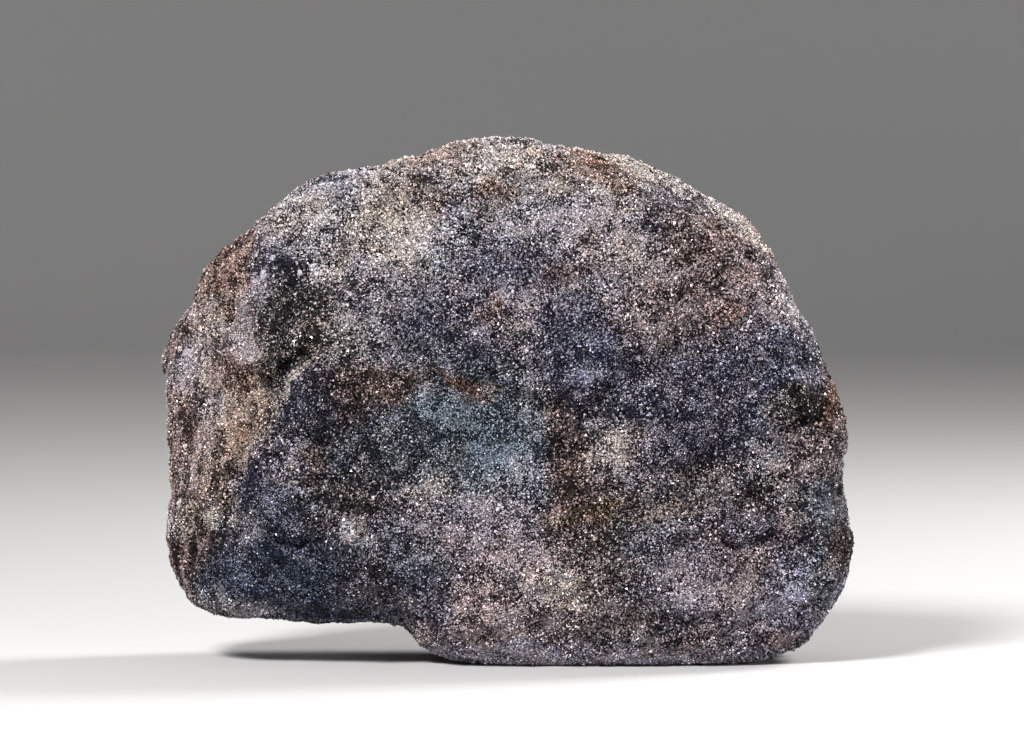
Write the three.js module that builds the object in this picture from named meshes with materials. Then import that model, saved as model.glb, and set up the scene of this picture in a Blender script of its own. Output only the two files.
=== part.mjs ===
// A hand-sized lump of granular manganese ore, broken from its bed and standing on its narrow
// edge. It is one piece of stone: a broad front face, a slanting face on the left, an upper
// slope, an overhang under the lower left lobe, and a small flat spot that it rests on.
// Millimetres, +Z up, with the broad front face towards -Y. The origin is on the surface that
// the stone stands on, under the middle of its bounding box.

import * as THREE from 'three';
import { ImprovedNoise } from 'three/addons/math/ImprovedNoise.js';
import { mergeVertices } from 'three/addons/utils/BufferGeometryUtils.js';

// Driving dimensions
const WIDTH = 90;
const HEIGHT = 67.7;
const FRONT_BULGE = 20;
const BACK_BULGE = 20.5;
const SQUARENESS = 3.3; // 2 is an ellipse in section, and higher is flatter with tighter edges
const EDGE_TIGHTNESS = 36; // higher is a sharper edge between two broken faces
const ROWS_OF_FACETS = 19; // each of the 20 starting triangles is cut into (this + 1) squared

// The surface is worked out outwards from this point.
const MIDDLE = new THREE.Vector3(0, 0, 33);

// The stone's outline from the front, as x and height above the surface, going clockwise from
// the left shoulder. Its lowest stretch dips under the surface, where the flat spot cuts it.
const OUTLINE = [
  [-46.1, 39.5], [-43.7, 43], [-41.2, 45.5], [-40.7, 48], [-40, 50.5], [-38, 52.5], [-34, 55.5],
  [-31.5, 58], [-27, 61], [-25.5, 62], [-22.5, 63], [-18, 63], [-16.5, 63.7], [-15, 65],
  [-12.5, 65], [-9.5, 66], [-8.3, 67], [-6.3, 67], [-3.4, 67.7], [-1.3, 67.4], [2.6, 67.1],
  [5.7, 66], [7.4, 66], [8.4, 66.3], [9.6, 66.1], [10.2, 65.7], [13, 65.3], [16, 64.6],
  [21, 62.5], [27, 59.6], [30.8, 56.8], [33.5, 52.8], [35.9, 47.5], [38.8, 41.8], [41.4, 36],
  [42.2, 34], [43, 31.6], [43.2, 28.5], [42.6, 25], [43.1, 20.9], [44.1, 16.8], [44.5, 15],
  [44, 13.3], [42.5, 8.5], [41.3, 6.4], [39.3, 4], [37.8, 2.4], [36, 1.2], [32, -0.6],
  [20, -2], [0, -2], [-6, -0.6], [-8.4, 0.5], [-10.5, 1.1], [-12.2, 3], [-14, 4.7],
  [-16, 5.2], [-22.6, 5.1], [-26.5, 4.9], [-29, 5.4], [-31, 5.9], [-34, 5.6], [-39.6, 6.1],
  [-41.7, 7.7], [-43.5, 11], [-44.3, 15], [-45, 17], [-44.8, 18.7], [-43.9, 20.4],
  [-44.4, 26], [-45, 31.8], [-46, 37.8],
];
const OUTLINE_DETAIL_REACH = 0.24; // how far from the rim the small corners of the outline last
const OUTLINE_BLUR = THREE.MathUtils.degToRad(6);

// Broad broken faces, each a plane through a point, facing outwards
const BROKEN_FACES = [
  { name: 'left side', through: [-31, -17.5, 30], facing: [-0.77, -0.64, 0.04] },
  { name: 'upper slope', through: [0, -20, 45], facing: [-0.1, -0.93, 0.36] },
  { name: 'lower front', through: [8, -19.5, 20], facing: [0.06, -0.98, -0.19] },
  { name: 'right front', through: [16, -19.6, 34], facing: [0.27, -0.96, 0.05] },
  { name: 'lower left lobe', through: [-28, -15.5, 14], facing: [-0.2, -0.93, -0.3] },
  { name: 'back crown', through: [6, 17, 48], facing: [0.22, 0.86, 0.46] },
  { name: 'back left', through: [-24, 17, 30], facing: [-0.5, 0.86, 0.1] },
  { name: 'back right', through: [20, 19, 28], facing: [0.36, 0.93, -0.04] },
  { name: 'back foot', through: [2, 18, 13], facing: [-0.05, 0.82, -0.57] },
];

// Relief of the front face, placed by x and height. A hollow is an oval dish, or a swelling
// where its depth is negative. A ledge stands proud on the left of the way from its start to
// its end, and dies away over its fade.
const HOLLOWS = [
  { name: 'blue-grey dish', x: -3, z: 30, wide: 12, high: 8, turn: -12, deep: 1.5 },
  { name: 'slot above the side ridge', x: -27, z: 38.5, wide: 5.5, high: 2.2, turn: 40, deep: 2 },
  { name: 'side ridge', x: -27.5, z: 34.5, wide: 7, high: 1.8, turn: 58, deep: -1.5 },
  { name: 'rust hollow', x: 8.5, z: 27, wide: 4.5, high: 2.4, turn: 80, deep: 1.5 },
  { name: 'left belly', x: -22, z: 15, wide: 13, high: 7, turn: 5, deep: -1.3 },
  { name: 'left gully', x: -34, z: 22, wide: 8, high: 3, turn: 60, deep: 1.2 },
  { name: 'saddle', x: -15, z: 22, wide: 7, high: 5, turn: 40, deep: 1.1 },
  { name: 'foot swelling', x: 2, z: 12, wide: 12, high: 9, turn: 0, deep: -1.2 },
  { name: 'right pit', x: 31, z: 15.5, wide: 4, high: 1.8, turn: 25, deep: 1.3 },
  { name: 'brow', x: 5, z: 44, wide: 20, high: 7, turn: -8, deep: -1 },
  { name: 'upper left dell', x: -24, z: 50, wide: 7, high: 5, turn: 30, deep: 1 },
  { name: 'upper right dell', x: 26, z: 46, wide: 9, high: 5, turn: -40, deep: 0.9 },
];
const LEDGES = [
  { name: 'shelf above the dish', from: [-23, 37.5], to: [8, 35.5], rise: 1.3, fade: 7 },
  { name: 'side ridge edge', from: [-22, 41.5], to: [-30.5, 29], rise: 1.3, fade: 4 },
  { name: 'lobe cleft', from: [-20, 19.5], to: [-32, 16.5], rise: 1.3, fade: 4 },
  { name: 'right crack', from: [33, 30.2], to: [40, 32.4], rise: 0.9, fade: 2.6 },
  { name: 'right shelf', from: [8, 24], to: [34, 31], rise: 0.7, fade: 6 },
  { name: 'crown step', from: [-20, 58], to: [-6, 61], rise: 0.9, fade: 4 },
  { name: 'foot step', from: [12, 8], to: [30, 5.5], rise: 0.9, fade: 4 },
];

// Broken, hackly texture over the whole stone: chips are flat cells, each tilted its own way,
// and a higher crispness makes a sharper step from one to the next
const CHIPS = [
  { size: 10, tilt: 0.17, offset: 0.4, crispness: 14 },
  { size: 5, tilt: 0.2, offset: 0.2, crispness: 9 },
];
const LUMPS = [
  { size: 21, height: 1.5 },
  { size: 6.5, height: 0.5 },
  { size: 3.1, height: 0.28 },
];
const RIM_QUIET = 0.85; // how much of the relief is held back at the outline
const RIM_WIDTH = 11;
const FLAT_SPOT_MARGIN = 3; // the relief grows from nothing over this height above the surface
const MOST_STANDING_OUT = 0.75; // of a corner from the middle of the corners that it is joined to

const noise = new ImprovedNoise();

// A repeatable number from 0 to 1 for a cell of a grid
function cellValue(i, j, k, salt) {
  const mixed = Math.sin(i * 127.1 + j * 311.7 + k * 74.7 + salt * 53.3) * 43758.5453;
  return mixed - Math.floor(mixed);
}

// How far the outline is from MIDDLE at an angle round it
function outlineReach(angle) {
  const dx = Math.cos(angle);
  const dz = Math.sin(angle);
  for (let i = 0; i < OUTLINE.length; i++) {
    const [ax, az] = OUTLINE[i];
    const [bx, bz] = OUTLINE[(i + 1) % OUTLINE.length];
    const [px, pz, qx, qz] = [ax - MIDDLE.x, az - MIDDLE.z, bx - MIDDLE.x, bz - MIDDLE.z];
    const facesStart = dx * pz - dz * px;
    const facesEnd = dx * qz - dz * qx;
    if (facesStart >= 0 && facesEnd < 0) {
      return (px * qz - pz * qx) / (dx * (qz - pz) - dz * (qx - px));
    }
  }
  throw new Error('the outline does not close round its middle');
}

function blurredReach(angle) {
  const steps = [-1, -0.6, -0.2, 0.2, 0.6, 1];
  return steps.reduce((sum, s) => sum + outlineReach(angle + s * OUTLINE_BLUR), 0) / steps.length;
}

// The smooth body under the relief, along one direction from MIDDLE
function bodyPoint(direction) {
  const { x, y, z } = direction;
  const angle = Math.atan2(z, x);
  const nearRim = Math.exp(-((y / OUTLINE_DETAIL_REACH) ** 2));
  const reachAtRim = outlineReach(angle);
  const reach = THREE.MathUtils.lerp(Math.min(blurredReach(angle), reachAtRim), reachAtRim, nearRim);
  const bulge = y < 0 ? FRONT_BULGE : BACK_BULGE;
  const sideways = (Math.hypot(x, z) / reach) ** SQUARENESS;
  const outwards = (Math.abs(y) / bulge) ** SQUARENESS;
  let crowding = (sideways + outwards) ** (EDGE_TIGHTNESS / SQUARENESS);
  for (const face of BROKEN_FACES) {
    const normal = new THREE.Vector3(...face.facing).normalize();
    const away = direction.dot(normal);
    const distance = new THREE.Vector3(...face.through).sub(MIDDLE).dot(normal);
    if (away > 0) crowding += (away / distance) ** EDGE_TIGHTNESS;
  }
  const point = direction.clone().multiplyScalar(crowding ** (-1 / EDGE_TIGHTNESS)).add(MIDDLE);
  const drop = MIDDLE.z - point.z;
  if (drop > MIDDLE.z) {
    point.sub(MIDDLE).multiplyScalar(MIDDLE.z / drop).add(MIDDLE);
    point.z = 0;
  }
  return point;
}

function lumps(p) {
  return LUMPS.reduce((sum, { size, height }) => {
    return sum + height * noise.noise(p.x / size + 7.3, p.y / size + 2.1, p.z / size + 4.7) * 1.6;
  }, 0);
}

// One layer of chips: the height of the tilted flat cell that a point falls in, eased into its
// neighbours' over the last of the way
function chips(p, { size, tilt, offset, crispness }) {
  const g = p.clone().divideScalar(size);
  const cell = [Math.floor(g.x), Math.floor(g.y), Math.floor(g.z)];
  const seed = new THREE.Vector3();
  const slope = new THREE.Vector3();
  let height = 0;
  let weights = 0;
  for (let n = 0; n < 27; n++) {
    const [i, j, k] = [cell[0] + (n % 3) - 1, cell[1] + (Math.floor(n / 3) % 3) - 1,
      cell[2] + Math.floor(n / 9) - 1];
    const value = (salt) => cellValue(i, j, k, salt);
    seed.set(i + value(1), j + value(2), k + value(3));
    slope.set(value(4), value(5), value(6)).subScalar(0.5).multiplyScalar(2 * tilt * size);
    const weight = Math.exp(-crispness * seed.distanceToSquared(g));
    height += weight * (slope.dot(seed.sub(g)) + (value(7) - 0.5) * 2 * offset);
    weights += weight;
  }
  return height / weights;
}

function hollow(p, { x, z, wide, high, turn, deep }) {
  const angle = THREE.MathUtils.degToRad(turn);
  const along = (p.x - x) * Math.cos(angle) + (p.z - z) * Math.sin(angle);
  const across = (p.z - z) * Math.cos(angle) - (p.x - x) * Math.sin(angle);
  return -deep * Math.exp(-((along / wide) ** 2) - (across / high) ** 2);
}

function ledge(p, { from, to, rise, fade }) {
  const length = Math.hypot(to[0] - from[0], to[1] - from[1]);
  const way = [(to[0] - from[0]) / length, (to[1] - from[1]) / length];
  const [dx, dz] = [p.x - from[0], p.z - from[1]];
  const along = (dx * way[0] + dz * way[1]) / length;
  const left = dz * way[0] - dx * way[1];
  const ends = THREE.MathUtils.smoothstep(along, -0.15, 0.12)
    * (1 - THREE.MathUtils.smoothstep(along, 0.88, 1.15));
  const side = left > 0 ? Math.exp(-left / fade) : -0.5 * Math.exp(left / (0.6 * fade));
  return rise * side * ends;
}

// How smooth the fine-grained parts of the front face are, from 0 to 1
function fineGrained(p) {
  const dish = Math.exp(-(((p.x + 3) / 11) ** 2) - ((p.z - 29.5) / 7.5) ** 2);
  const lobe = Math.exp(-(((p.x + 23) / 15) ** 2) - ((p.z - 11) / 6.5) ** 2);
  return Math.max(dish, lobe);
}

// How far the stone's surface stands off the smooth body at a point of that body
function relief(p) {
  const onFront = THREE.MathUtils.smoothstep(-p.y, 5, 12);
  const front = [...HOLLOWS.map((h) => hollow(p, h)), ...LEDGES.map((l) => ledge(p, l))];
  const shaped = onFront * front.reduce((sum, h) => sum + h, 0);
  const broken = lumps(p) + CHIPS.reduce((sum, layer) => sum + chips(p, layer), 0);
  const quiet = 1 - 0.65 * onFront * fineGrained(p);
  const rim = 1 - RIM_QUIET * Math.exp(-((p.y / RIM_WIDTH) ** 2));
  return (shaped + broken * quiet) * rim * THREE.MathUtils.smoothstep(p.z, 0.01, FLAT_SPOT_MARGIN);
}

// A ball of even triangles whose directions are crowded to suit the stone's long, thin shape
function evenDirections() {
  const ball = new THREE.IcosahedronGeometry(1, ROWS_OF_FACETS);
  ball.deleteAttribute('normal');
  ball.deleteAttribute('uv');
  return mergeVertices(ball, 1e-5);
}

// Draws in each corner that stands out as a spike from the corners that it is joined to
function drawInSpikes(geometry) {
  const spots = geometry.getAttribute('position');
  const corners = geometry.index.array;
  const joined = Array.from({ length: spots.count }, () => new Set());
  for (let i = 0; i < corners.length; i += 3) {
    const triangle = corners.subarray(i, i + 3);
    triangle.forEach((corner) => triangle.forEach((other) => joined[corner].add(other)));
  }
  const before = spots.clone();
  const point = new THREE.Vector3();
  const other = new THREE.Vector3();
  const middle = new THREE.Vector3();
  joined.forEach((others, i) => {
    others.delete(i);
    middle.set(0, 0, 0);
    for (const j of others) {
      middle.addScaledVector(other.fromBufferAttribute(before, j), 1 / others.size);
    }
    point.fromBufferAttribute(before, i).sub(middle).clampLength(0, MOST_STANDING_OUT).add(middle);
    spots.setXYZ(i, ...point);
  });
}

function stoneGeometry() {
  const geometry = evenDirections();
  const spots = geometry.getAttribute('position');
  const direction = new THREE.Vector3();
  for (let i = 0; i < spots.count; i++) {
    direction.fromBufferAttribute(spots, i);
    direction.multiply(new THREE.Vector3(WIDTH / 2, FRONT_BULGE, HEIGHT / 2)).normalize();
    spots.setXYZ(i, ...bodyPoint(direction));
  }
  geometry.computeVertexNormals();
  const normals = geometry.getAttribute('normal');
  const point = new THREE.Vector3();
  const normal = new THREE.Vector3();
  for (let i = 0; i < spots.count; i++) {
    point.fromBufferAttribute(spots, i);
    normal.fromBufferAttribute(normals, i);
    point.addScaledVector(normal, relief(point));
    spots.setXYZ(i, point.x, point.y, Math.max(point.z, 0));
  }
  drawInSpikes(geometry);
  geometry.computeBoundingBox();
  const centre = geometry.boundingBox.getCenter(new THREE.Vector3());
  geometry.translate(-centre.x, -centre.y, 0);
  geometry.computeVertexNormals();
  return geometry;
}

const oreStone = new THREE.MeshStandardMaterial({
  name: 'granular ore',
  color: 0x6e6769,
  roughness: 0.6,
  metalness: 0.15,
  flatShading: true,
});

const stone = new THREE.Mesh(stoneGeometry(), oreStone);
stone.name = 'stone';

const specimen = new THREE.Group();
specimen.name = 'ore_specimen';
specimen.add(stone);

export default specimen;
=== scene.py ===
"""A hand-sized lump of granular hausmannite ore: a broken body of stone, crowded with grains of
dark ore and pale carbonate, most of them about a quarter of a millimetre across. Metres, +Z
up, with the broad front face towards -Y."""

import math

import bmesh
import bpy
import numpy as np
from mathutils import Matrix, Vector


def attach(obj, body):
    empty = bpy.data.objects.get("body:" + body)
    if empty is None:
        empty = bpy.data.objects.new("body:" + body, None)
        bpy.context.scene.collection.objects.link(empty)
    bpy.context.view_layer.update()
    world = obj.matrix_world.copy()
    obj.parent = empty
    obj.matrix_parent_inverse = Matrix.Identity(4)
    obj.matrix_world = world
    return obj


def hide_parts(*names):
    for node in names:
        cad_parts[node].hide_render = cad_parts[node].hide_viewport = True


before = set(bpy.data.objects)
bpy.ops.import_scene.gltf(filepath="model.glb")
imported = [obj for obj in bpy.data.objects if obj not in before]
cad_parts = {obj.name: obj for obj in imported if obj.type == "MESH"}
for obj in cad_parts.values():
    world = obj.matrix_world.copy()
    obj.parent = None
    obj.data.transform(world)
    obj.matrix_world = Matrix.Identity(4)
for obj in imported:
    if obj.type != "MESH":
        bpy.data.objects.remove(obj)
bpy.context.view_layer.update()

MM = 0.001


def placed(name, data):
    """A new object of the scene with this mesh, lamp or camera."""
    thing = bpy.data.objects.new(name, data)
    bpy.context.scene.collection.objects.link(thing)
    return thing


def finished_mesh(rough):
    """The mesh that an object's modifiers make. The object itself goes."""
    mesh = bpy.data.meshes.new_from_object(rough.evaluated_get(bpy.context.evaluated_depsgraph_get()))
    bpy.data.objects.remove(rough)
    return mesh


# Noise

def scatter(cells, salt):
    """A repeatable number from 0 to 1 for each whole-number cell."""
    h = (cells[:, 0] * 73856093) ^ (cells[:, 1] * 19349663) ^ (cells[:, 2] * 83492791)
    h = (h ^ (salt * 40503 + 977)) & 0xFFFFFFFF
    h = ((h ^ (h >> 15)) * 2246822519) & 0xFFFFFFFF
    h = ((h ^ (h >> 13)) * 3266489917) & 0xFFFFFFFF
    h = h ^ (h >> 16)
    return (h & 0xFFFFFF) / 0x1000000


def drift(points, size, salt=0):
    """Smooth noise from -1 to 1, with lumps about as wide as the size. The salt picks the noise."""
    g = points / size
    cell = np.floor(g).astype(np.int64)
    f = g - cell
    f = f * f * (3 - 2 * f)
    total = np.zeros(len(points))
    for corner in range(8):
        step = np.array([corner & 1, corner >> 1 & 1, corner >> 2 & 1])
        weight = np.prod(np.where(step, f, 1 - f), axis=1)
        total += weight * scatter(cell + step, salt)
    return np.clip((total - 0.5) * 2.6, -1, 1)


def chips(points, size, tilt, offset, crispness, salt):
    """Flat cells, each tilted its own way, like the chips of a broken face."""
    g = points / size
    cell = np.floor(g).astype(np.int64)
    height = np.zeros(len(points))
    weights = np.zeros(len(points))
    for n in range(27):
        near = cell + np.array([n % 3 - 1, n // 3 % 3 - 1, n // 9 - 1])
        spread = np.stack([scatter(near, salt + s) for s in (1, 2, 3)], axis=1)
        slope = np.stack([scatter(near, salt + s) for s in (4, 5, 6)], axis=1) - 0.5
        away = near + spread - g
        weight = np.exp(-crispness * np.sum(away * away, axis=1))
        level = (scatter(near, salt + 7) - 0.5) * 2 * offset
        height += weight * (level + 2 * tilt * size * np.sum(slope * away, axis=1))
        weights += weight
    return height / weights


def smoothstep(value, low, high):
    t = np.clip((value - low) / (high - low), 0, 1)
    return t * t * (3 - 2 * t)


# The minerals and where they lie

def linear(hex_colour):
    """A colour written as on screen, turned into linear light."""
    values = [int(hex_colour[i:i + 2], 16) / 255 for i in (0, 2, 4)]
    return [v / 12.92 if v <= 0.04045 else ((v + 0.055) / 1.055) ** 2.4 for v in values]


# Each look of the rock: the share of pale grains in it, the colour of the pale grains, the
# colour of the dark ones, and how fine-grained it is
LOOKS = {
    "mixed": (0.50, "aca3a5", "232027", 0.0),
    "cream": (0.88, "cabfb6", "3f3733", 0.0),
    "white": (0.87, "ccc8cb", "343238", 0.0),
    "chalk": (0.79, "b5a39e", "4a3d3b", 0.3),
    "dust": (0.93, "c6bfcb", "6e6972", 0.4),
    "pink": (0.81, "c2b0b1", "3a2f33", 0.0),
    "lilac": (0.79, "b6b0bd", "302c40", 0.2),
    "rust": (0.52, "a8816d", "3a241c", 0.0),
    "ochre": (0.60, "b6a083", "3a2e22", 0.0),
    "brown": (0.43, "9b837a", "2d1f1c", 0.0),
    "olive": (0.17, "86827a", "141312", 0.0),
    "navy": (0.41, "8c8c9d", "26273a", 0.3),
    "slate": (0.54, "909caa", "2b3743", 0.8),
    "teal": (0.38, "7d8597", "1f2639", 0.8),
}

# Patches of the front face in millimetres: look, x, height, half width, half height, turn in
# degrees, strength. Later ones lie over earlier ones.
PATCHES = [
    # broad tones
    ("white", -8, 59, 21, 9, 0, 0.6), ("cream", 10, 62, 16, 6, -15, 0.4),
    ("pink", 25, 50, 14, 10, 0, 0.45), ("pink", 0, 9, 15, 9, 0, 0.8),
    ("lilac", 30, 8, 12, 8, 0, 0.75), ("navy", -25, 13, 16, 8, 0, 0.4),
    # left face
    ("rust", -38, 53, 5, 3.5, 45, 0.5), ("brown", -39, 49, 3, 3.5, -20, 0.75),
    ("rust", -39.5, 46, 4, 4, 0, 0.3), ("brown", -36, 37, 3, 4.5, 0, 0.6),
    ("ochre", -34, 31, 3, 5, 0, 0.45), ("ochre", -36, 24.5, 3, 5, -10, 0.5),
    ("rust", -34, 29.5, 1.2, 1.6, 0, 0.5), ("white", -38, 34, 2.5, 7, 5, 0.35),
    ("white", -41, 42, 2.5, 5, -20, 0.3), ("brown", -42.5, 33, 1.2, 5, 0, 0.5),
    ("cream", -40, 18, 4, 4, 0, 0.5), ("brown", -40, 21, 2.5, 2, 0, 0.5),
    ("brown", -41, 14.5, 5, 2.5, 10, 0.7), ("rust", -43, 10.5, 4, 4, 0, 0.75),
    ("white", -43.5, 17.5, 2, 3, 0, 0.5), ("brown", -43, 41, 2, 2.5, 0, 0.75),
    ("rust", -34.5, 37.5, 2.5, 2.5, 0, 0.5), ("dust", -32, 48.5, 1.5, 3.5, 0, 0.7),
    ("dust", -35, 42.5, 2.5, 2, 0, 0.45), ("dust", -42, 37.5, 2, 2.5, 0, 0.6),
    ("dust", -30.5, 55, 1.8, 1.5, 0, 0.7), ("cream", -38, 44.5, 3, 2, -30, 0.5),
    # upper left
    ("slate", -25, 61.5, 5, 3, 0, 0.35), ("cream", -27, 58, 4, 3, 0, 0.6),
    ("white", -22.5, 54, 4.5, 4.5, 0, 0.9), ("lilac", -31.5, 52, 1.5, 3.5, 0, 0.5),
    ("navy", -28, 51, 3.5, 3, 0, 0.5), ("olive", -27.5, 46, 5.5, 6, 0, 0.6),
    ("cream", -18, 54, 4, 5, 0, 0.5), ("cream", -13, 57, 6, 4, 20, 0.6),
    ("white", -9.5, 53, 3.5, 3, 0, 0.6), ("navy", -10.5, 50, 2.5, 2, 0, 0.5),
    ("cream", -13, 48, 4, 3, 30, 0.5), ("cream", -21, 43.5, 6, 2.5, 10, 0.6),
    ("lilac", -17, 50.5, 2.5, 2, 0, 0.4),
    # slot and ridge on the left: the olive patches are painted shade in the slot over its olive tone, the
    # cream one a painted highlight on the ridge
    ("olive", -31, 37, 3, 3.5, 0, 0.7), ("olive", -26.6, 39.6, 5, 1.5, 28, 1.0),
    ("navy", -24, 34, 3.5, 4, 50, 0.9), ("cream", -27, 36, 5.2, 1.1, 52, 1.0),
    # crest
    ("cream", -1.5, 65, 10, 3.5, 0, 0.7), ("rust", -9, 66, 4, 2, 0, 0.3),
    ("ochre", -15, 61.5, 3, 4, 0, 0.4), ("brown", -10.5, 61, 3, 2.5, 0, 0.6),
    ("rust", -2.5, 61.5, 3.5, 1, 0, 0.6), ("lilac", -7, 59.8, 1.5, 3, 0, 0.5),
    ("brown", 9, 62.5, 3, 2.5, 0, 0.4), ("rust", 11, 65, 3.5, 1.5, -10, 0.9),
    ("rust", 14.5, 63.5, 2.5, 2, 0, 0.5), ("cream", 20, 62.5, 9, 2, -24, 0.9),
    # upper middle and upper right
    ("navy", 1.5, 58, 7, 3, 0, 0.25), ("navy", 0.5, 51, 7, 3, 0, 0.7),
    ("rust", 6, 49.5, 2.5, 1.5, 30, 0.7), ("pink", 11.5, 54.5, 5, 5, 0, 0.6),
    ("cream", 15, 53, 4, 2.5, 0, 0.5), ("navy", 19.5, 58, 5, 4, 0, 0.5),
    ("brown", 27.5, 54.5, 8, 5, -30, 0.55), ("slate", 28.5, 58, 5, 2, -30, 0.5),
    ("pink", 24.5, 48, 9, 5, 0, 0.5), ("brown", 22, 48, 6, 5, 0, 0.3),
    ("rust", 27, 54, 2, 2.5, 0, 0.3), ("pink", 34, 47, 5, 5, 0, 0.7),
    ("rust", 28.5, 45, 3, 1.3, 50, 0.6), ("ochre", 23.5, 41.5, 3, 1.8, 0, 0.5),
    # the white and cream bands on the next line are a painted highlight along the right rim
    ("white", 38, 44.5, 9, 1.6, -64, 0.8), ("cream", 30, 57, 7, 1.8, -42, 0.8),
    # band across the middle
    ("navy", -14.5, 45, 5, 4, 0, 0.6), ("navy", -5, 43.5, 8, 5, 0, 0.5),
    ("rust", -1.5, 47, 2, 1.5, 0, 0.5), ("pink", 1.5, 45, 4, 3, 0, 0.3),
    ("navy", 8, 43.5, 5, 5, 0, 0.85), ("white", 10.5, 48, 4, 1.5, 0, 0.3),
    ("navy", 11.5, 37.5, 6, 5, 0, 0.85), ("lilac", 18, 38, 3, 6, 0, 0.25),
    ("navy", 31, 38.5, 11, 4.5, 0, 0.9), ("navy", 19.5, 31, 6, 5, 0, 0.7),
    ("navy", 27.5, 30.5, 6, 3.5, 0, 0.6), ("white", 19, 34.5, 3, 2.5, 0, 0.3),
    # the olive patch at x 39.5 is painted shade along the right crack
    ("cream", 13.5, 28.5, 4, 2.2, 0, 0.5), ("olive", 39.5, 34, 4, 2, 10, 1.0),
    ("rust", 42, 34.5, 2, 4, 0, 0.8), ("pink", 39.5, 26.5, 4, 3, 0, 0.6),
    # blue-grey dish and round it
    ("brown", -17, 34, 5, 3.5, 0, 0.7), ("rust", -14.5, 36.5, 5, 3, 0, 0.6),
    ("navy", -25, 30, 5, 4, 0, 0.6), ("olive", -19.5, 27.5, 7, 6, 0, 0.6),
    ("teal", -21.5, 26, 2, 2, 0, 0.7), ("teal", -14.5, 28.5, 4, 5, 0, 0.5),
    ("lilac", -28.5, 26, 4, 3, 0, 0.4), ("navy", -32.5, 23.5, 3.5, 3, 0, 0.8),
    ("rust", -24, 26.5, 1.5, 2, 0, 0.4), ("teal", -28, 19.8, 3.8, 2.6, 0, 0.9),
    ("slate", -3.8, 30.3, 12, 7, -36, 1.0), ("lilac", 4.5, 26, 3, 2, 0, 0.7),
    ("rust", -5.6, 37, 4.8, 0.9, -22, 0.85), ("cream", -2.8, 36.1, 2, 0.6, -22, 0.7),
    ("brown", 7, 31, 2, 5, 10, 0.8), ("olive", 7.6, 25.5, 1.3, 4, 5, 0.5),
    ("brown", -18, 36, 5, 2.6, 0, 0.4), ("rust", -13.5, 36.8, 3.4, 1.8, -10, 0.5),
    ("olive", -20, 22.5, 5, 2.5, 0, 0.4), ("brown", -23.5, 18.5, 7, 1.5, 10, 0.7),
    # lower left lobe
    ("teal", -24.5, 11, 12, 7, 0, 1.0), ("teal", -36.5, 10.5, 7, 5, 0, 0.8),
    ("white", -34, 7, 7, 1.7, -6, 0.65), ("white", -18.5, 16.8, 4.2, 1.3, -48, 0.9),
    ("brown", -18, 11.5, 3.5, 3.5, 0, 0.5), ("cream", -41, 17.5, 3.5, 3, 0, 0.6),
    ("brown", -39.5, 14, 4, 2, 10, 0.6), ("brown", -43.5, 10.5, 3, 4, 0, 0.85),
    # foot
    ("lilac", -4, 18.5, 8, 5, 0, 0.7), ("cream", -10.5, 23.5, 3, 3, 0, 0.45),
    ("pink", -1.5, 12.5, 8, 6.5, 0, 0.7), ("cream", 6, 10.5, 4.5, 2.5, -15, 0.8),
    ("slate", -10.5, 13, 4, 3, 0, 0.5), ("navy", -9.5, 9.5, 2.4, 3, 0, 0.7),
    ("pink", -5, 4.5, 6, 4, 0, 0.6), ("lilac", 1.5, 2, 5, 1.5, 0, 0.9),
    ("dust", -5, 1.6, 7, 1.6, 0, 0.6), ("dust", 1.2, 2.2, 2.8, 1.8, 0, 1.0),
    ("dust", 14, 0, 24, 1.4, 0, 0.85),
    # lower right
    ("brown", 8, 23.5, 3, 5, 0, 0.7), ("ochre", 11.3, 20.8, 4.6, 1, 18, 1.0),
    ("brown", 14.5, 18, 6, 5, 0, 0.6), ("olive", 14.5, 13, 6, 6, 0, 0.35),
    ("slate", 18, 17, 4, 4, 0, 0.4), ("ochre", 22, 21, 5, 1, 5, 0.6),
    ("olive", 30, 23.5, 8, 5, 0, 0.2), ("lilac", 26, 18, 6, 4, 0, 0.35),
    ("rust", 30, 16, 6, 5, 40, 0.4), ("navy", 31, 18, 3, 2, 0, 0.7), ("lilac", 21, 11.5, 4, 4, 0, 0.5),
    ("pink", 27.5, 9, 5, 3, 0, 0.4), ("lilac", 37.5, 8.5, 2.5, 4, 0, 1.0),
    ("lilac", 33, 5, 5, 2, 0, 0.7), ("pink", 24.5, 2.5, 5, 2, 0, 0.7),
    ("rust", 35, 4, 2.5, 1.5, 0, 0.6), ("slate", 41, 21, 2.5, 3, 0, 0.6),
    ("slate", 41.5, 13, 3, 5, 0, 0.4), ("brown", 44, 15.5, 1.5, 4, 0, 0.8),
]

# Where the pale left face ends, as height and x in millimetres, from the foot upwards
LEFT_FACE_EDGE = [
    (4, -44), (10, -41.5), (14, -39.5), (18, -37.5), (22, -35), (28, -32), (33, -29.5),
    (38, -31.5), (45, -32), (52, -31), (58, -30),
]

# The dark lobe below the left face ends between these heights
LOBE_TOP = (8, 12)

# The looks of the front fade out from 2 to 8 millimetres behind the stone's middle
FRONT_ENDS = (-8, -2)

# How far the borders of the patches waver, broadly and finely
BROAD_WAVER, FINE_WAVER = 1.2, 0.6

# How far the share of pale grains swings over broad areas, in clots and in the left face's
# streaks, and its least and most
BROAD_SWING, CLOT_SWING, STREAK_SWING = 0.16, 0.3, 0.5
SHARE_LIMITS = (0.03, 0.96)

# Clusters of round pale lumps on the front face: x, height, half width, half height, share
LUMP_CLUSTERS = [
    (-32, 48, 1.2, 5, 0.45), (-30.5, 54, 1.3, 2, 0.3), (-26.5, 52, 2, 1.2, 0.25),
    (-41, 37, 3, 6, 0.08), (-37, 44, 4, 6, 0.06), (-42.5, 27, 2, 6, 0.08),
]

# The share of round pale lumps elsewhere, and the most at the back
STRAY_LUMPS, BACK_LUMPS = 0.0015, 0.08

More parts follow.
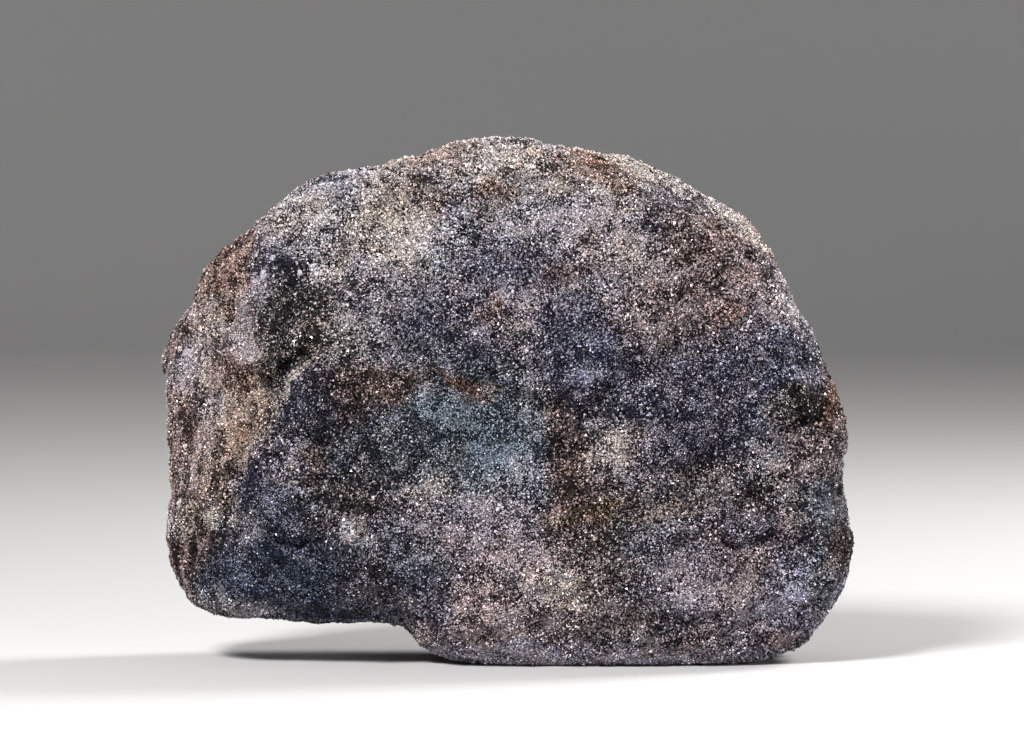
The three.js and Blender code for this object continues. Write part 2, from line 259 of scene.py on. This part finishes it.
# The sides, top and back have drifting zones of these looks, each with its size in millimetres
# and how much of the surface it takes
ZONES = [
    ("navy", 19, 0.46), ("pink", 16, 0.36), ("cream", 12, 0.26), ("slate", 15, 0.16),
    ("brown", 10, 0.2), ("olive", 8, 0.16), ("lilac", 9, 0.2), ("rust", 6.5, 0.2),
    ("white", 7, 0.14), ("ochre", 5, 0.12),
]


def on_left_face(spots, warp):
    """1 on the pale left face, 0 off it, with a ragged edge that the warp moves."""
    edge = np.interp(spots[:, 2], *zip(*LEFT_FACE_EDGE))
    beside = smoothstep(edge - spots[:, 0] + 0.5 * warp, -0.7, 0.7)
    above_lobe = smoothstep(spots[:, 2] + 0.5 * warp, *LOBE_TOP)
    return beside * smoothstep(-spots[:, 1], *FRONT_ENDS) * above_lobe


def look_values(name):
    share, pale, dark, fine = LOOKS[name]
    return np.array([share, *linear(pale), *linear(dark), fine])


def lay_minerals(spots):
    """What lies at each spot, in millimetres: share of pale grains, pale colour, dark colour
    and fineness, as columns."""
    warped = spots + BROAD_WAVER * np.stack([drift(spots, 5, s) for s in (11, 12, 13)], axis=1)
    warped += FINE_WAVER * np.stack([drift(spots, 1.9, s) for s in (14, 15, 16)], axis=1)
    ground = np.tile(look_values("mixed"), (len(spots), 1))
    around = ground.copy()
    for number, (name, size, taken) in enumerate(ZONES):
        level = drift(warped, size, 20 + number) + 0.35 * drift(warped, size / 3, 40 + number)
        edge = 1 - 2 * taken
        weight = 0.85 * smoothstep(level, edge - 0.1, edge + 0.25)[:, None]
        around += weight * (look_values(name) - around)
    front = ground.copy()
    left = on_left_face(spots, warped[:, 0] - spots[:, 0])
    front += left[:, None] * (look_values("chalk") - front)
    for name, x, height, wide, high, turn, strength in PATCHES:
        angle = math.radians(turn)
        dx, dz = warped[:, 0] - x, warped[:, 2] - height
        along = (dx * math.cos(angle) + dz * math.sin(angle)) / wide
        across = (dz * math.cos(angle) - dx * math.sin(angle)) / high
        weight = strength * np.exp(-(0.8 * (along ** 2 + across ** 2)) ** 1.6)[:, None]
        front += weight * (look_values(name) - front)
    facing = smoothstep(-spots[:, 1] + 1.5 * drift(spots, 6, 17), *FRONT_ENDS)[:, None]
    laid = around + facing * (front - around)
    streaks = drift(spots * (1, 1, 0.3), 1.1, 26) * left
    clots = drift(spots, 1.3, 19)
    laid[:, 0] += BROAD_SWING * drift(spots, 3.4, 18) + CLOT_SWING * clots + STREAK_SWING * streaks
    laid[:, 0] = np.clip(laid[:, 0], *SHARE_LIMITS)
    brightness = 0.16 * drift(spots, 2.2, 27) + 0.12 * drift(spots, 0.9, 28)
    laid[:, 1:4] *= 1 + brightness[:, None]
    laid[:, 4:7] *= 1 + 0.9 * np.maximum(clots, 0)[:, None]
    warmth = 0.045 * drift(spots, 3.1, 29) + 0.035 * drift(spots, 1.2, 30)
    laid[:, [1, 4]] *= 1 + warmth[:, None]
    laid[:, [3, 6]] *= 1 - 1.3 * warmth[:, None]
    return laid


def lay_lumps(spots):
    """The share of places, of those far enough apart, that have a round pale lump."""
    share = np.full(len(spots), STRAY_LUMPS)
    for x, height, wide, high, most in LUMP_CLUSTERS:
        away = ((spots[:, 0] - x) / wide) ** 2 + ((spots[:, 2] - height) / high) ** 2
        share += most * np.exp(-away) * (spots[:, 1] < 0)
    back = smoothstep(drift(spots, 7, 70), 0.35, 0.8) * (spots[:, 1] > 0)
    return share + BACK_LUMPS * back


# The body of the stone

# Layers of chips: size in millimetres, tilt, offset, crispness and salt
CHIP_LAYERS = [(3.6, 0.2, 0.16, 10, 90), (2.1, 0.34, 0.16, 10, 100), (1.2, 0.34, 0.09, 9, 120)]

# How deep the left face's streaks and the pits go, and how far the cracks waver, in millimetres
STREAK_DEPTH, PIT_DEPTH, CRACK_WAVER = 0.75, 0.3, 0.5

# Cracks and grooves of the front face: points as x and height, half width, depth, all in
# millimetres. A depth below 0 makes a ridge.
CRACKS = [
    ([(35, 30.4), (37.5, 31.3), (40, 31.8), (43.5, 33.4)], 0.6, 1.5),
    ([(-31, 36), (-28, 38.8), (-25, 40.6), (-22, 42)], 0.8, 1.0),
    ([(-23, 40.2), (-26, 37.4), (-28.6, 33.8), (-29.6, 31)], 0.6, -0.9),
    ([(-32.1, 18), (-30, 16), (-27.2, 15.4), (-24, 17), (-21.4, 20)], 0.55, 1.9),
    ([(-31, 20.6), (-28, 19.8), (-25.5, 20.6)], 1.9, -0.9),
    ([(7.8, 29.5), (9, 25), (11.6, 18.5)], 0.7, 0.6),
    ([(9, 20.5), (14, 20.3), (22, 22), (27, 24.5)], 0.5, 0.5),
    ([(28, 16), (31, 15.2), (34, 16.4)], 0.8, 0.8),
    ([(-35, 30), (-33.5, 25), (-35.5, 20)], 0.6, 0.6),
    ([(-16, 37), (-9, 37.6), (0, 36.2)], 0.6, 0.5),
    ([(-21, 57), (-17, 59.5), (-12, 60.5)], 0.6, 0.5),
]


def line_distance(x, z, points):
    """How far each place is from a line through the points."""
    nearest = np.full(len(x), 1e9)
    for (ax, az), (bx, bz) in zip(points, points[1:]):
        length = (bx - ax) ** 2 + (bz - az) ** 2
        t = np.clip(((x - ax) * (bx - ax) + (z - az) * (bz - az)) / length, 0, 1)
        nearest = np.minimum(nearest, np.hypot(x - ax - t * (bx - ax), z - az - t * (bz - az)))
    return nearest


def body_relief(spots, fine):
    """How far the broken surface stands off the smoothed solid, in millimetres."""
    relief = sum(chips(spots, *layer) for layer in CHIP_LAYERS) * (1 - 0.55 * fine)
    streaks = drift(spots * (1, 1, 0.35), 1.5, 64) - np.abs(drift(spots * (1, 1, 0.3), 2.6, 65))
    relief += STREAK_DEPTH * streaks * on_left_face(spots, drift(spots, 1.9, 14))
    pits = drift(spots, 2.1, 61) + 0.4 * drift(spots, 0.9, 62)
    relief -= PIT_DEPTH * smoothstep(pits, 0.55, 0.9)
    waver = CRACK_WAVER * drift(spots, 2.4, 63)
    front = smoothstep(-spots[:, 1], 5, 9)
    for points, wide, deep in CRACKS:
        away = line_distance(spots[:, 0] + waver, spots[:, 2] + waver, points)
        relief -= deep * front * np.exp(-(away / wide) ** 2)
    quiet_rim = 1 - 0.5 * np.exp(-(spots[:, 1] / 9) ** 2)
    return relief * quiet_rim * smoothstep(spots[:, 2], 0.05, 1.5)


def take_columns(mesh, laid, lumps):
    """Keeps what lies at each vertex with the mesh."""
    shares = {
        "pale_share": laid[:, 0], "dark_share": 1 - laid[:, 0], "fineness": laid[:, 7], "lump_share": lumps,
    }
    for name, values in shares.items():
        column = mesh.attributes.new(name, "FLOAT", "POINT")
        column.data.foreach_set("value", values.astype(np.float32))
    for name, first in (("pale_colour", 1), ("dark_colour", 4)):
        column = mesh.attributes.new(name, "FLOAT_COLOR", "POINT")
        colours = np.ones((len(laid), 4), dtype=np.float32)
        colours[:, :3] = laid[:, first:first + 3]
        column.data.foreach_set("color", colours.ravel())


def break_out_body(solid):
    """The stone's body: the solid made smooth, then broken and pitted at the size of chips."""
    mesh = solid.data.copy()
    mesh.materials.clear()
    work = bmesh.new()
    work.from_mesh(mesh)
    bmesh.ops.remove_doubles(work, verts=work.verts, dist=1e-6)
    work.to_mesh(mesh)
    work.free()
    rough = placed("rough_body", mesh)
    smoothing = rough.modifiers.new("smoothing", "SUBSURF")
    smoothing.levels = smoothing.render_levels = 2
    finished = finished_mesh(rough)
    spots = np.empty(len(finished.vertices) * 3)
    normals = np.empty(len(finished.vertices) * 3)
    finished.vertices.foreach_get("co", spots)
    finished.vertices.foreach_get("normal", normals)
    spots, normals = spots.reshape(-1, 3) / MM, normals.reshape(-1, 3)
    laid = lay_minerals(spots)
    spots += normals * body_relief(spots, laid[:, 7])[:, None]
    spots[:, 2] = np.maximum(spots[:, 2], 0)
    finished.vertices.foreach_set("co", (spots * MM).ravel())
    take_columns(finished, laid, lay_lumps(spots))
    finished.shade_smooth()
    finished.update()
    return placed("ore_body", finished)


# Grains

# Grains lie no lower than this, so that none goes through the floor
LOWEST_GRAIN = 0.3 * MM

# A grain's size: the least, to which chance adds up to 1, how rare the big ones are, how much
# smaller grains are where the rock is finest, and each side's own least and most
LEAST_SIZE, BIG_ONES_RARE, FINE_SHRINK = 0.64, 3.0, 0.42
LEAST_SIDE, MOST_SIDE = 0.75, 1.3

# The size of the dents and knobs of uneven grains
DENT = 0.45 * MM


def grain_tree():
    """Strews grains over a surface: points kept apart, one kind and one side of the stone at a
    time, each with a grain of the chosen shape, turned at random and half sunk."""
    tree = bpy.data.node_groups.new("grain bed", "GeometryNodeTree")
    sockets = tree.interface
    sockets.new_socket("Geometry", in_out="OUTPUT", socket_type="NodeSocketGeometry")
    for name, kind in (
        ("Geometry", "Geometry"), ("Spacing", "Float"), ("Tries", "Float"), ("Grain Size", "Float"),
        ("Seed", "Int"), ("Share", "String"), ("High Roll", "Bool"), ("Back", "Bool"),
        ("Both Sides", "Bool"), ("Shape", "Int"), ("Lying Flat", "Float"), ("Unevenness", "Float"),
        ("Finish", "Material"),
    ):
        sockets.new_socket(name, in_out="INPUT", socket_type="NodeSocket" + kind)
    nodes, links = tree.nodes, tree.links
    inputs = nodes.new("NodeGroupInput").outputs
    result = nodes.new("NodeGroupOutput").inputs[0]

    def add(kind, settings=(), **sockets):
        node = nodes.new(kind)
        for key, value in dict(settings).items():
            setattr(node, key, value)
        for name, value in sockets.items():
            socket = node.inputs[int(name[1:])] if name[0] == "_" else node.inputs[name]
            if isinstance(value, bpy.types.NodeSocket):
                links.new(value, socket)
            else:
                socket.default_value = value
        return node

    def maths(operation, a, b):
        return add("ShaderNodeMath", {"operation": operation}, _0=a, _1=b).outputs[0]

    def named(name):
        column = add("GeometryNodeInputNamedAttribute", {"data_type": "FLOAT"}, Name=name)
        return column.outputs["Attribute"]

    def chance(low, high, salt):
        seed = maths("ADD", inputs["Seed"], salt)
        dice = add("FunctionNodeRandomValue", {"data_type": "FLOAT"}, _2=low, _3=high, Seed=seed)
        return dice.outputs[1]

    def three(x, y, z):
        return add("ShaderNodeCombineXYZ", _0=x, _1=y, _2=z).outputs[0]

    place = add("ShaderNodeSeparateXYZ", _0=nodes.new("GeometryNodeInputPosition").outputs[0]).outputs
    is_back = maths("GREATER_THAN", place["Y"], 0.0)
    other_side = maths("ABSOLUTE", maths("SUBTRACT", is_back, inputs["Back"]), 0.0)
    above_floor = maths("GREATER_THAN", place["Z"], LOWEST_GRAIN)
    either = maths("MAXIMUM", maths("SUBTRACT", 1.0, other_side), inputs["Both Sides"])
    strewn = add(
        "GeometryNodeDistributePointsOnFaces", {"distribute_method": "POISSON"}, Mesh=inputs["Geometry"],
        Selection=maths("MULTIPLY", either, above_floor), Seed=inputs["Seed"],
    )
    links.new(inputs["Spacing"], strewn.inputs["Distance Min"])
    links.new(inputs["Tries"], strewn.inputs["Density Max"])

    roll = chance(0.0, 1.0, 1)
    roll = maths("ABSOLUTE", maths("SUBTRACT", roll, inputs["High Roll"]), 0.0)
    left_out = maths("GREATER_THAN", roll, named(inputs["Share"]))
    thinned = add("GeometryNodeDeleteGeometry", Geometry=strewn.outputs["Points"], Selection=left_out)

    crystal = add("GeometryNodeMeshUVSphere", Segments=4, Rings=2, Radius=1.0).outputs["Mesh"]
    shard = add("GeometryNodeMeshCone", {"fill_type": "NGON"}, Vertices=3, Depth=1.7).outputs["Mesh"]
    shard = add("GeometryNodeTransform", Geometry=shard, Translation=(0.0, 0.0, -0.5)).outputs[0]
    lump = add("GeometryNodeMeshIcoSphere", Radius=1.0, Subdivisions=2).outputs["Mesh"]
    grain = add(
        "GeometryNodeIndexSwitch", {"data_type": "GEOMETRY"}, Index=inputs["Shape"], _1=shard, _2=crystal,
    )
    grain.index_switch_items.new()
    links.new(lump, grain.inputs[3])
    angles = three(*(chance(0.0, math.tau, salt) for salt in (2, 3, 4)))
    any_way = add("FunctionNodeEulerToRotation", _0=angles).outputs[0]
    turned = add("GeometryNodeSwitch", {"input_type": "ROTATION"}, Switch=inputs["Lying Flat"])
    links.new(any_way, turned.inputs[1])
    links.new(strewn.outputs["Rotation"], turned.inputs[2])
    turned = turned.outputs[0]
    shrink = maths("SUBTRACT", 1.0, maths("MULTIPLY", named("fineness"), FINE_SHRINK))
    bigness = maths("ADD", LEAST_SIZE, maths("POWER", chance(0.0, 1.0, 5), BIG_ONES_RARE))
    size = maths("MULTIPLY", maths("MULTIPLY", inputs["Grain Size"], shrink), bigness)
    sides = [maths("MULTIPLY", size, chance(LEAST_SIDE, MOST_SIDE, salt)) for salt in (6, 7, 8)]
    sides[2] = maths("MULTIPLY", sides[2], maths("SUBTRACT", 1.0, inputs["Lying Flat"]))
    set_in = add(
        "GeometryNodeInstanceOnPoints", Points=thinned.outputs[0], Instance=grain.outputs[0],
        Rotation=turned, Scale=three(*sides),
    )
    marked = add(
        "GeometryNodeStoreNamedAttribute", {"data_type": "FLOAT", "domain": "INSTANCE"},
        Geometry=set_in.outputs[0], Name="grain_roll", Value=chance(0.0, 1.0, 9),
    )
    real = add("GeometryNodeRealizeInstances", Geometry=marked.outputs[0])
    noise = add("ShaderNodeTexNoise", Scale=1 / DENT, Detail=2.0).outputs["Color"]
    push = add("ShaderNodeVectorMath", {"operation": "SUBTRACT"}, _0=noise, _1=(0.5, 0.5, 0.5)).outputs[0]
    push = add("ShaderNodeVectorMath", {"operation": "SCALE"}, _0=push, Scale=inputs["Unevenness"]).outputs[0]
    uneven = add("GeometryNodeSetPosition", Geometry=real.outputs[0], Offset=push)
    flat = add("GeometryNodeSetShadeSmooth", Geometry=uneven.outputs[0])
    flat.inputs["Shade Smooth"].default_value = False
    dressed = add("GeometryNodeSetMaterial", Geometry=flat.outputs[0], Material=inputs["Finish"])
    links.new(dressed.outputs[0], result)
    return tree


# How each kind of grain is strewn: how far apart, how many places are tried on each square
# millimetre, how big, and which shape
SHARD, CRYSTAL, LUMP = 0, 1, 2
STREWN = {
    "lumps": {
        "Spacing": 0.9 * MM, "Tries": 3 / MM ** 2, "Grain Size": 0.55 * MM, "Seed": 3, "Shape": LUMP,
        "Lying Flat": 0.6, "Unevenness": 1.1 * MM,
    },
    "crystals": {
        "Spacing": 0.58 * MM, "Tries": 5 / MM ** 2, "Grain Size": 0.175 * MM, "Seed": 5, "Shape": CRYSTAL,
        "Lying Flat": 0.0, "Unevenness": 0.0,
    },
    "grains": {
        "Spacing": 0.24 * MM, "Tries": 34 / MM ** 2, "Grain Size": 0.15 * MM, "Seed": 8, "Shape": SHARD,
        "Lying Flat": 0.0, "Unevenness": 0.0,
    },
}


def strew(name, body, tree, finish, kind, share, high_roll=False, back=None):
    """One piece: the grains of one kind, on both sides or only on the front or the back. Dark
    grains take the high rolls and pale ones the low, so that they share the places."""
    bed = placed("grain_bed", body.data)
    strewing = bed.modifiers.new("strewing", "NODES")
    strewing.node_group = tree
    wanted = {
        **STREWN[kind], "Share": share, "High Roll": high_roll, "Back": bool(back),
        "Both Sides": back is None, "Finish": finish,
    }
    for socket in tree.interface.items_tree:
        if socket.in_out == "INPUT" and socket.name in wanted:
            strewing[socket.identifier] = wanted[socket.name]
    return placed(name, finished_mesh(bed))


# Materials

class Finish:
    """A material with its shader, and short ways to add the nodes that feed it."""

    def __init__(self, name):
        self.material = bpy.data.materials.new(name)
        self.material.use_nodes = True
        self.nodes = self.material.node_tree.nodes
        self.links = self.material.node_tree.links
        self.shader = self.nodes["Principled BSDF"]

    def add(self, kind, settings=(), **sockets):
        node = self.nodes.new(kind)
        for key, value in dict(settings).items():
            setattr(node, key, value)
        for name, value in sockets.items():
            self.join(value, node.inputs[int(name[1:])] if name[0] == "_" else node.inputs[name])
        return node

    def join(self, value, socket):
        if isinstance(value, bpy.types.NodeSocket):
            self.links.new(value, socket)
        else:
            socket.default_value = value

    def attribute(self, name, output="Fac"):
        return self.add("ShaderNodeAttribute", {"attribute_name": name}).outputs[output]

    def spread(self, value, low, high):
        """A value of 0 to 1, spread from low to high."""
        node = self.add("ShaderNodeMapRange", _0=value, _3=low, _4=high)
        return node.outputs[0]

    def scale_colour(self, colour, amount):
        node = self.add("ShaderNodeVectorMath", {"operation": "SCALE"}, _0=colour, Scale=amount)
        return node.outputs[0]

    def mix(self, amount, a, b):
        node = self.add("ShaderNodeMix", {"data_type": "RGBA"}, _0=amount, _6=a, _7=b)
        return node.outputs[2]

    def reroll(self, roll, times):
        """Another number from 0 to 1 out of a random one."""
        scaled = self.add("ShaderNodeMath", {"operation": "MULTIPLY"}, _0=roll, _1=times).outputs[0]
        return self.add("ShaderNodeMath", {"operation": "FRACT"}, _0=scaled).outputs[0]


def ore_grain_finish():
    """Dark grains: near-black crystals with bright glints."""
    finish = Finish("hausmannite_crystal")
    roll = finish.attribute("grain_roll")
    brightness = finish.spread(finish.reroll(roll, 7.31), 0.05, 1.8)
    colour = finish.scale_colour(finish.attribute("dark_colour", "Color"), brightness)
    finish.join(colour, finish.shader.inputs["Base Color"])
    dullness = finish.spread(finish.reroll(roll, 13.7), 0.1, 0.32)
    finish.join(dullness, finish.shader.inputs["Roughness"])
    finish.shader.inputs["IOR"].default_value = 1.28
    return finish.material


def carbonate_grain_finish():
    """Pale grains: milky, greyish, each with its own slight tint and stain."""
    finish = Finish("pale_carbonate")
    roll = finish.attribute("grain_roll")
    redness = finish.spread(finish.reroll(roll, 23.1), 0.88, 1.14)
    blueness = finish.spread(finish.reroll(roll, 31.7), 0.86, 1.14)
    tint = finish.add("ShaderNodeCombineXYZ", _0=redness, _1=0.97, _2=blueness).outputs[0]
    pale = finish.attribute("pale_colour", "Color")
    tinted = finish.add("ShaderNodeVectorMath", {"operation": "MULTIPLY"}, _0=pale, _1=tint).outputs[0]
    stain = finish.spread(finish.reroll(roll, 5.13), 0.0, 0.6)
    stained = finish.mix(stain, tinted, finish.attribute("dark_colour", "Color"))
    brightness = finish.spread(finish.reroll(roll, 17.9), 0.5, 1.33)
    finish.join(finish.scale_colour(stained, brightness), finish.shader.inputs["Base Color"])
    dullness = finish.spread(finish.reroll(roll, 11.3), 0.2, 0.55)
    finish.join(dullness, finish.shader.inputs["Roughness"])
    finish.shader.inputs["IOR"].default_value = 1.5
    return finish.material


def milky_lump_finish():
    """Round lumps of pale carbonate, milky, with a faint grain of their own."""
    finish = Finish("milky_calcite")
    place = finish.add("ShaderNodeTexCoord").outputs["Object"]
    roll = finish.attribute("grain_roll")
    mottle = finish.add("ShaderNodeTexNoise", Vector=place, Scale=1 / (0.35 * MM), Detail=3.0)
    colour = finish.mix(0.45, finish.attribute("pale_colour", "Color"), (*linear("b9adb0"), 1))
    colour = finish.scale_colour(colour, finish.spread(roll, 0.4, 0.75))
    colour = finish.scale_colour(colour, finish.spread(mottle.outputs[0], 0.45, 1.35))
    finish.join(colour, finish.shader.inputs["Base Color"])
    bump = finish.add("ShaderNodeBump", Height=mottle.outputs[0], Distance=0.15 * MM, Strength=0.8)
    finish.join(bump.outputs[0], finish.shader.inputs["Normal"])
    finish.shader.inputs["Roughness"].default_value = 0.42
    finish.shader.inputs["IOR"].default_value = 1.5
    return finish.material


def ore_body_finish():
    """What shows between the grains: crystals of about a fifth of a millimetre of the same
    minerals, each with one flat face turned its own way. They are dark at their joints, and less
    so where the rock is pale."""
    finish = Finish("fine_grained_ore")
    place = finish.add("ShaderNodeTexCoord").outputs["Object"]
    cells = finish.add("ShaderNodeTexVoronoi", Vector=place, Scale=1 / (0.22 * MM)).outputs
    roll = finish.add("ShaderNodeSeparateColor", _0=cells["Color"]).outputs
    pale_share = finish.attribute("pale_share")
    pale_here = finish.add("ShaderNodeMath", {"operation": "LESS_THAN"}, _0=roll[0], _1=pale_share).outputs[0]
    darkest = finish.add("ShaderNodeMapRange", _0=pale_share, _1=0.6, _2=0.95, _3=0.03, _4=0.17).outputs[0]
    dark, pale = (finish.attribute(name, "Color") for name in ("dark_colour", "pale_colour"))
    colour = finish.mix(pale_here, dark, pale)
    colour = finish.scale_colour(colour, finish.spread(roll[1], darkest, 0.95))
    joint = finish.add("ShaderNodeMapRange", _0=cells["Distance"], _1=0.25, _2=0.7, _3=1.0, _4=darkest)
    finish.join(finish.scale_colour(colour, joint.outputs[0]), finish.shader.inputs["Base Color"])
    finish.join(finish.spread(roll[2], 0.3, 0.7), finish.shader.inputs["Roughness"])
    lean = finish.add("ShaderNodeVectorMath", {"operation": "SUBTRACT"}, _0=cells["Color"], _1=(0.5, 0.5, 0.5))
    lean = finish.add("ShaderNodeVectorMath", {"operation": "SCALE"}, _0=lean.outputs[0], Scale=1.6)
    upright = finish.add("ShaderNodeNewGeometry").outputs["Normal"]
    leaning = finish.add("ShaderNodeVectorMath", {"operation": "ADD"}, _0=upright, _1=lean.outputs[0])
    leaning = finish.add("ShaderNodeVectorMath", {"operation": "NORMALIZE"}, _0=leaning.outputs[0])
    finish.join(leaning.outputs[0], finish.shader.inputs["Normal"])
    finish.shader.inputs["IOR"].default_value = 1.3
    finish.shader.inputs["Specular IOR Level"].default_value = 0.2
    return finish.material


# Studio

def plain_finish(name, colour, roughness):
    finish = Finish(name)
    finish.shader.inputs["Base Color"].default_value = (*colour, 1)
    finish.shader.inputs["Roughness"].default_value = roughness
    return finish.material


# The softboxes: name, place, what it faces, width, height, power and colour
STONE_MIDDLE = (0, 0, 0.034)
SOFTBOXES = [
    ("key", (-0.27, -0.5, 0.46), STONE_MIDDLE, 0.16, 0.16, 12.5, (1, 0.99, 0.985)),
    ("fill", (0.35, -0.6, 0.1), STONE_MIDDLE, 0.3, 0.3, 2.6, (0.94, 0.97, 1)),
    ("rim", (0.4, 0.22, 0.34), STONE_MIDDLE, 0.15, 0.25, 5, (1, 0.99, 0.97)),
    ("overhead", (0, 0.5, 1.9), (0, 0.3, 0), 1.8, 1.8, 8, (1, 1, 1)),
]


def softbox(name, place, aim, wide, high, power, colour):
    lamp = bpy.data.lights.new(name, "AREA")
    lamp.shape = "RECTANGLE"
    lamp.size, lamp.size_y = wide, high
    lamp.energy = power
    lamp.color = colour
    holder = placed(name, lamp)
    holder.location = place
    holder.rotation_euler = (Vector(aim) - Vector(place)).to_track_quat("-Z", "Y").to_euler()


def round_backdrop():
    """A pale floor that turns up into a wall all round, far from the stone."""
    flat, bend, top = 1.0, 0.6, 1.4
    flat_rings, bend_rings, sides = 8, 16, 96
    rings = [(flat * step / flat_rings, 0.0) for step in range(1, flat_rings + 1)]
    for angle in np.linspace(0.1, math.pi / 2, bend_rings):
        rings.append((flat + bend * math.sin(angle), bend * (1 - math.cos(angle))))
    rings.append((flat + bend, top))
    corners, faces = [(0, 0, 0)], []
    for reach, height in rings:
        for side in range(sides):
            angle = math.tau * side / sides
            corners.append((reach * math.cos(angle), reach * math.sin(angle), height))
    for side in range(sides):
        faces.append((0, 1 + side, 1 + (side + 1) % sides))
    for ring in range(len(rings) - 1):
        for side in range(sides):
            a, b = 1 + ring * sides + side, 1 + ring * sides + (side + 1) % sides
            faces.append((a, a + sides, b + sides, b))
    mesh = bpy.data.meshes.new("backdrop")
    mesh.from_pydata(corners, [], faces)
    mesh.shade_smooth()
    mesh.materials.append(plain_finish("pale_backdrop", (0.38, 0.377, 0.375), 0.8))
    return placed("backdrop", mesh)


def set_studio():
    scene = bpy.context.scene
    round_backdrop()
    for lamp in SOFTBOXES:
        softbox(*lamp)

    world = bpy.data.worlds.new("studio")
    world.use_nodes = True
    sky = world.node_tree.nodes["Background"]
    sky.inputs["Color"].default_value = (0.75, 0.76, 0.78, 1)
    sky.inputs["Strength"].default_value = 0.05
    scene.world = world
    scene.view_settings.view_transform = "Standard"

    lens = bpy.data.cameras.new("camera")
    lens.lens = 244.5
    lens.clip_end = 10
    camera = placed("camera", lens)
    aim = Vector((0.0006, 0, 0.0382))
    away = 0.902
    tilt = math.radians(2.5)
    camera.location = aim + away * Vector((0, -math.cos(tilt), math.sin(tilt)))
    camera.rotation_euler = (aim - camera.location).to_track_quat("-Z", "Y").to_euler()
    scene.camera = camera


# Putting it together

body = break_out_body(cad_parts["stone"])
body.data.materials.append(ore_body_finish())
tree = grain_tree()
dark, pale, milky = ore_grain_finish(), carbonate_grain_finish(), milky_lump_finish()
pieces = [
    body,
    strew("calcite_lumps", body, tree, milky, "lumps", "lump_share"),
    strew("hausmannite_crystals", body, tree, dark, "crystals", "dark_share", high_roll=True),
    strew("carbonate_crystals", body, tree, pale, "crystals", "pale_share"),
    strew("hausmannite_grains_front", body, tree, dark, "grains", "dark_share", high_roll=True, back=False),
    strew("hausmannite_grains_back", body, tree, dark, "grains", "dark_share", high_roll=True, back=True),
    strew("carbonate_grains_front", body, tree, pale, "grains", "pale_share", back=False),
    strew("carbonate_grains_back", body, tree, pale, "grains", "pale_share", back=True),
]
for piece in pieces:
    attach(piece, "root")
    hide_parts("stone")

set_studio()
